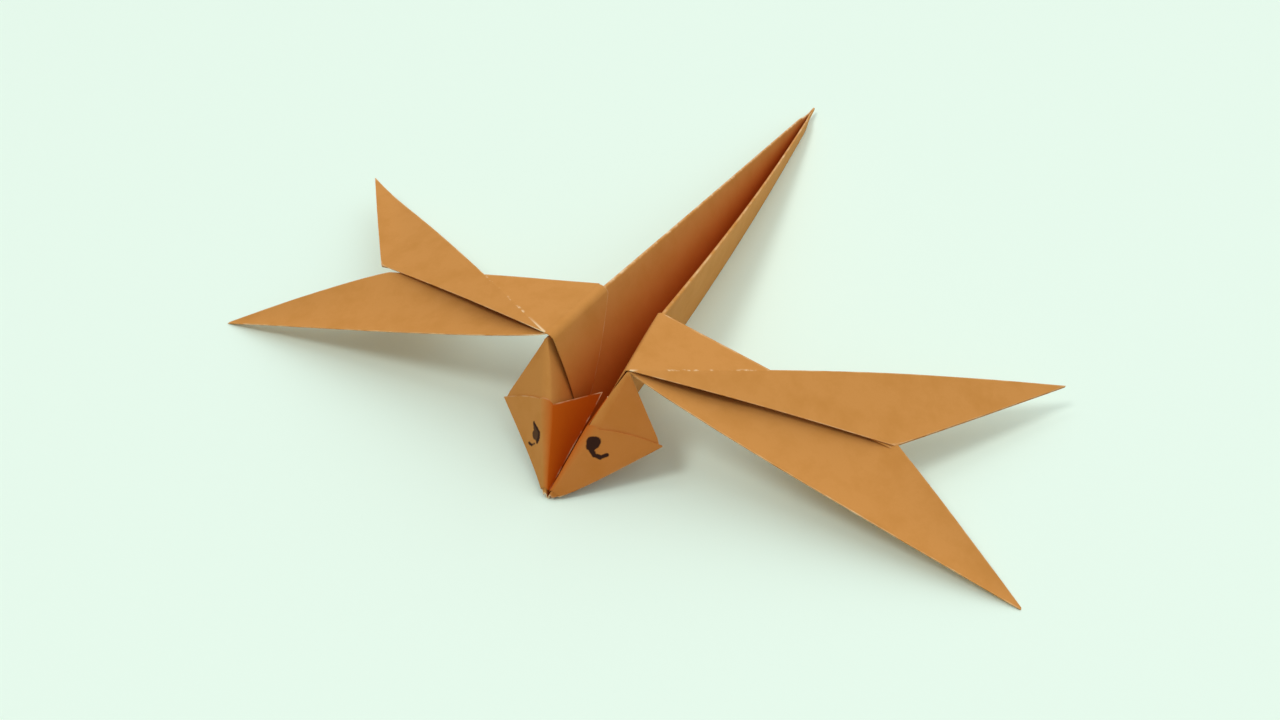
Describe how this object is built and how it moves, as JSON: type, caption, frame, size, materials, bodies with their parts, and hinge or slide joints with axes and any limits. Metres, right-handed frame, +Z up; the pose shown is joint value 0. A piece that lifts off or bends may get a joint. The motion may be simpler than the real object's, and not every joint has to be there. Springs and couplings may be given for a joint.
{
  "type": "origami dragonfly",
  "caption": "Dragonfly folded from one sheet of orange-brown craft paper: open trough body, pointed head with cheeks, fore and hind wings, small ink eyes.",
  "frame": {"origin": "on the ground, in the middle of the footprint's bounding box", "axes": "+X runs across the wings, towards the right of the picture; +Y runs from nose to tail; +Z is up"},
  "size_m": [0.1508, 0.1278, 0.0214],
  "materials": {
    "paper": "matte uncoated craft paper"
  },
  "bodies": {
    "root": {"folded_sheet": "paper"}
  },
  "joints": []
}
